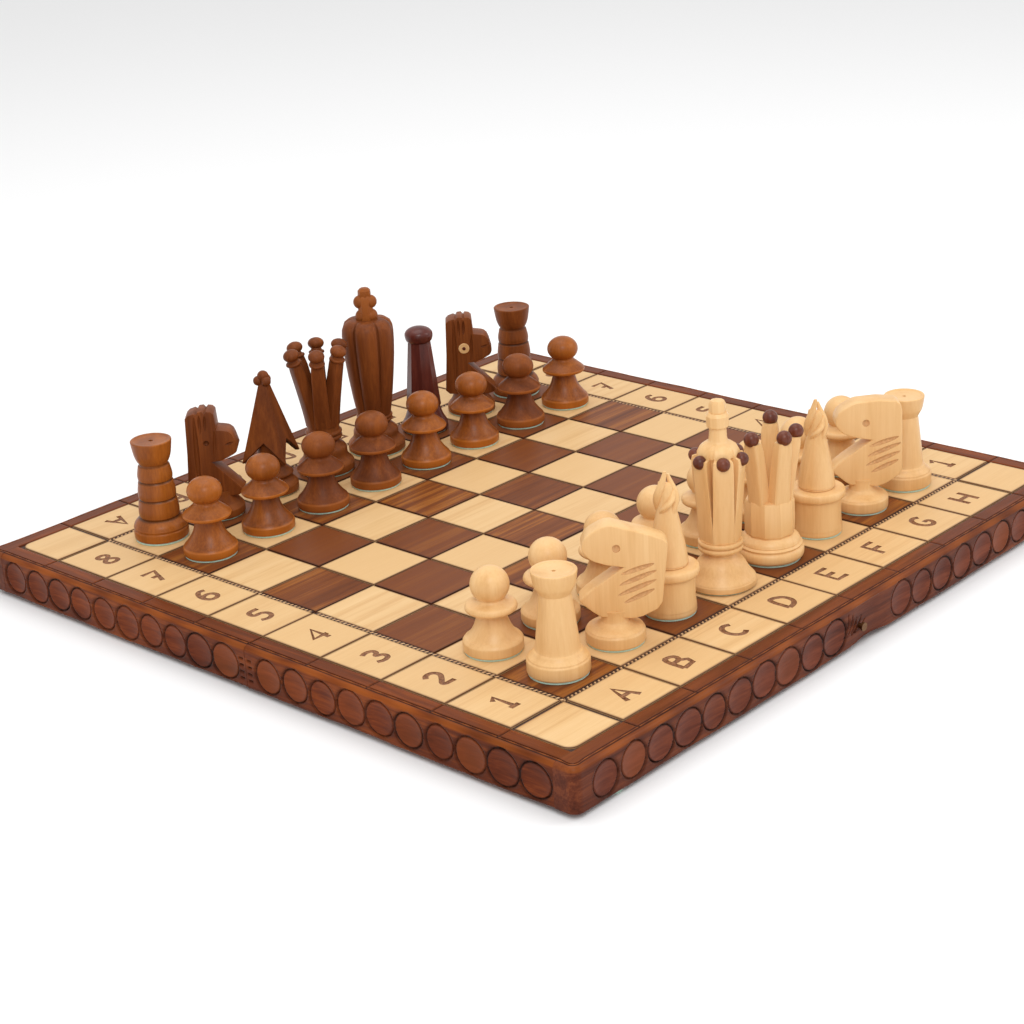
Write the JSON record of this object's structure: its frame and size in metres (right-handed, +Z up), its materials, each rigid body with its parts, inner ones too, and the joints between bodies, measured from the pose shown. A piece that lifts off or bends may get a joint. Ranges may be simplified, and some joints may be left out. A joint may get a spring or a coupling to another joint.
{
  "type": "folding chess set with board",
  "caption": "Folding wooden chess set: a shallow hinged box opens flat into a bordered board with turned and carved men standing on it, and closes with a hook to store them.",
  "frame": {"origin": "on the table, under the middle of the open board", "axes": "+X along the files from a to h, +Y along the ranks from 1 to 8, +Z up; the fold lies along X"},
  "size_m": [0.412, 0.4188, 0.1217],
  "materials": {
    "light_wood": "lacquered pale maple-like wood",
    "dark_wood": "lacquered wood stained brown",
    "board_wood": "satin lacquer over pale and brown squares with burned lines",
    "frame_wood": "hand carved, stained dark brown and lacquered",
    "brass": "plain brass",
    "felt": "pale green felt"
  },
  "bodies": {
    "front_half": {"front_end_rail": "frame_wood", "front_fold_rail": "frame_wood", "front_pad_end_a": "felt", "front_pad_end_h": "felt", "front_pad_fold_a": "felt", "front_pad_fold_h": "felt", "front_panel": "board_wood", "front_side_rail_a": "frame_wood", "front_side_rail_h": "frame_wood", "hinge_a_front_leaf": "brass", "hinge_a_pin": "brass", "hinge_h_front_leaf": "brass", "hinge_h_pin": "brass", "latch_stud": "brass"},
    "rear_half": {"hinge_a_rear_leaf": "brass", "hinge_h_rear_leaf": "brass", "latch_pivot": "brass", "rear_end_rail": "frame_wood", "rear_fold_rail": "frame_wood", "rear_pad_end_a": "felt", "rear_pad_end_h": "felt", "rear_pad_fold_a": "felt", "rear_pad_fold_h": "felt", "rear_panel": "board_wood", "rear_side_rail_a": "frame_wood", "rear_side_rail_h": "frame_wood"},
    "latch": {"latch_hook": "brass"},
    "brown_bishop_c": {"brown_bishop_c": "dark_wood"},
    "brown_bishop_f": {"brown_bishop_f": "dark_wood"},
    "brown_king_e": {"brown_king_e": "dark_wood"},
    "brown_knight_b": {"brown_knight_b": "dark_wood"},
    "brown_knight_g": {"brown_knight_g": "dark_wood"},
    "brown_pawn_a": {"brown_pawn_a": "dark_wood"},
    "brown_pawn_b": {"brown_pawn_b": "dark_wood"},
    "brown_pawn_c": {"brown_pawn_c": "dark_wood"},
    "brown_pawn_d": {"brown_pawn_d": "dark_wood"},
    "brown_pawn_e": {"brown_pawn_e": "dark_wood"},
    "brown_pawn_f": {"brown_pawn_f": "dark_wood"},
    "brown_pawn_g": {"brown_pawn_g": "dark_wood"},
    "brown_pawn_h": {"brown_pawn_h": "dark_wood"},
    "brown_queen_d": {"brown_queen_d": "dark_wood"},
    "brown_rook_a": {"brown_rook_a": "dark_wood"},
    "brown_rook_h": {"brown_rook_h": "dark_wood"},
    "white_bishop_c": {"white_bishop_c": "light_wood"},
    "white_bishop_f": {"white_bishop_f": "light_wood"},
    "white_king_d": {"white_king_d": "light_wood"},
    "white_knight_b": {"white_knight_b": "light_wood"},
    "white_knight_g": {"white_knight_g": "light_wood"},
    "white_pawn_a": {"white_pawn_a": "light_wood"},
    "white_pawn_b": {"white_pawn_b": "light_wood"},
    "white_pawn_c": {"white_pawn_c": "light_wood"},
    "white_pawn_d": {"white_pawn_d": "light_wood"},
    "white_pawn_e": {"white_pawn_e": "light_wood"},
    "white_pawn_f": {"white_pawn_f": "light_wood"},
    "white_pawn_g": {"white_pawn_g": "light_wood"},
    "white_pawn_h": {"white_pawn_h": "light_wood"},
    "white_queen_e": {"white_queen_e": "light_wood"},
    "white_rook_a": {"white_rook_a": "light_wood"},
    "white_rook_h": {"white_rook_h": "light_wood"}
  },
  "joints": [
    {"name": "fold", "type": "hinge", "parent": "front_half", "child": "rear_half", "pos_m": [0, 0, 0.0011], "axis": [-1, 0, 0], "range_deg": [0, 180]},
    {"name": "latch_swing", "type": "hinge", "parent": "rear_half", "child": "latch", "pos_m": [0, 0.2074, 0.0125], "axis": [0, 1, 0], "range_deg": [0, 90]},
    {"name": "brown_bishop_c_lift", "type": "slide", "parent": "rear_half", "child": "brown_bishop_c", "axis": [0, 0, 1], "range_m": [0, 0.11]},
    {"name": "brown_bishop_f_lift", "type": "slide", "parent": "rear_half", "child": "brown_bishop_f", "axis": [0, 0, 1], "range_m": [0, 0.11]},
    {"name": "brown_king_e_lift", "type": "slide", "parent": "rear_half", "child": "brown_king_e", "axis": [0, 0, 1], "range_m": [0, 0.11]},
    {"name": "brown_knight_b_lift", "type": "slide", "parent": "rear_half", "child": "brown_knight_b", "axis": [0, 0, 1], "range_m": [0, 0.11]},
    {"name": "brown_knight_g_lift", "type": "slide", "parent": "rear_half", "child": "brown_knight_g", "axis": [0, 0, 1], "range_m": [0, 0.11]},
    {"name": "brown_pawn_a_lift", "type": "slide", "parent": "rear_half", "child": "brown_pawn_a", "axis": [0, 0, 1], "range_m": [0, 0.11]},
    {"name": "brown_pawn_b_lift", "type": "slide", "parent": "rear_half", "child": "brown_pawn_b", "axis": [0, 0, 1], "range_m": [0, 0.11]},
    {"name": "brown_pawn_c_lift", "type": "slide", "parent": "rear_half", "child": "brown_pawn_c", "axis": [0, 0, 1], "range_m": [0, 0.11]},
    {"name": "brown_pawn_d_lift", "type": "slide", "parent": "rear_half", "child": "brown_pawn_d", "axis": [0, 0, 1], "range_m": [0, 0.11]},
    {"name": "brown_pawn_e_lift", "type": "slide", "parent": "rear_half", "child": "brown_pawn_e", "axis": [0, 0, 1], "range_m": [0, 0.11]},
    {"name": "brown_pawn_f_lift", "type": "slide", "parent": "rear_half", "child": "brown_pawn_f", "axis": [0, 0, 1], "range_m": [0, 0.11]},
    {"name": "brown_pawn_g_lift", "type": "slide", "parent": "rear_half", "child": "brown_pawn_g", "axis": [0, 0, 1], "range_m": [0, 0.11]},
    {"name": "brown_pawn_h_lift", "type": "slide", "parent": "rear_half", "child": "brown_pawn_h", "axis": [0, 0, 1], "range_m": [0, 0.11]},
    {"name": "brown_queen_d_lift", "type": "slide", "parent": "rear_half", "child": "brown_queen_d", "axis": [0, 0, 1], "range_m": [0, 0.11]},
    {"name": "brown_rook_a_lift", "type": "slide", "parent": "rear_half", "child": "brown_rook_a", "axis": [0, 0, 1], "range_m": [0, 0.11]},
    {"name": "brown_rook_h_lift", "type": "slide", "parent": "rear_half", "child": "brown_rook_h", "axis": [0, 0, 1], "range_m": [0, 0.11]},
    {"name": "white_bishop_c_lift", "type": "slide", "parent": "front_half", "child": "white_bishop_c", "axis": [0, 0, 1], "range_m": [0, 0.11]},
    {"name": "white_bishop_f_lift", "type": "slide", "parent": "front_half", "child": "white_bishop_f", "axis": [0, 0, 1], "range_m": [0, 0.11]},
    {"name": "white_king_d_lift", "type": "slide", "parent": "front_half", "child": "white_king_d", "axis": [0, 0, 1], "range_m": [0, 0.11]},
    {"name": "white_knight_b_lift", "type": "slide", "parent": "front_half", "child": "white_knight_b", "axis": [0, 0, 1], "range_m": [0, 0.11]},
    {"name": "white_knight_g_lift", "type": "slide", "parent": "front_half", "child": "white_knight_g", "axis": [0, 0, 1], "range_m": [0, 0.11]},
    {"name": "white_pawn_a_lift", "type": "slide", "parent": "front_half", "child": "white_pawn_a", "axis": [0, 0, 1], "range_m": [0, 0.11]},
    {"name": "white_pawn_b_lift", "type": "slide", "parent": "front_half", "child": "white_pawn_b", "axis": [0, 0, 1], "range_m": [0, 0.11]},
    {"name": "white_pawn_c_lift", "type": "slide", "parent": "front_half", "child": "white_pawn_c", "axis": [0, 0, 1], "range_m": [0, 0.11]},
    {"name": "white_pawn_d_lift", "type": "slide", "parent": "front_half", "child": "white_pawn_d", "axis": [0, 0, 1], "range_m": [0, 0.11]},
    {"name": "white_pawn_e_lift", "type": "slide", "parent": "front_half", "child": "white_pawn_e", "axis": [0, 0, 1], "range_m": [0, 0.11]},
    {"name": "white_pawn_f_lift", "type": "slide", "parent": "front_half", "child": "white_pawn_f", "axis": [0, 0, 1], "range_m": [0, 0.11]},
    {"name": "white_pawn_g_lift", "type": "slide", "parent": "front_half", "child": "white_pawn_g", "axis": [0, 0, 1], "range_m": [0, 0.11]},
    {"name": "white_pawn_h_lift", "type": "slide", "parent": "front_half", "child": "white_pawn_h", "axis": [0, 0, 1], "range_m": [0, 0.11]},
    {"name": "white_queen_e_lift", "type": "slide", "parent": "front_half", "child": "white_queen_e", "axis": [0, 0, 1], "range_m": [0, 0.11]},
    {"name": "white_rook_a_lift", "type": "slide", "parent": "front_half", "child": "white_rook_a", "axis": [0, 0, 1], "range_m": [0, 0.11]},
    {"name": "white_rook_h_lift", "type": "slide", "parent": "front_half", "child": "white_rook_h", "axis": [0, 0, 1], "range_m": [0, 0.11]}
  ]
}
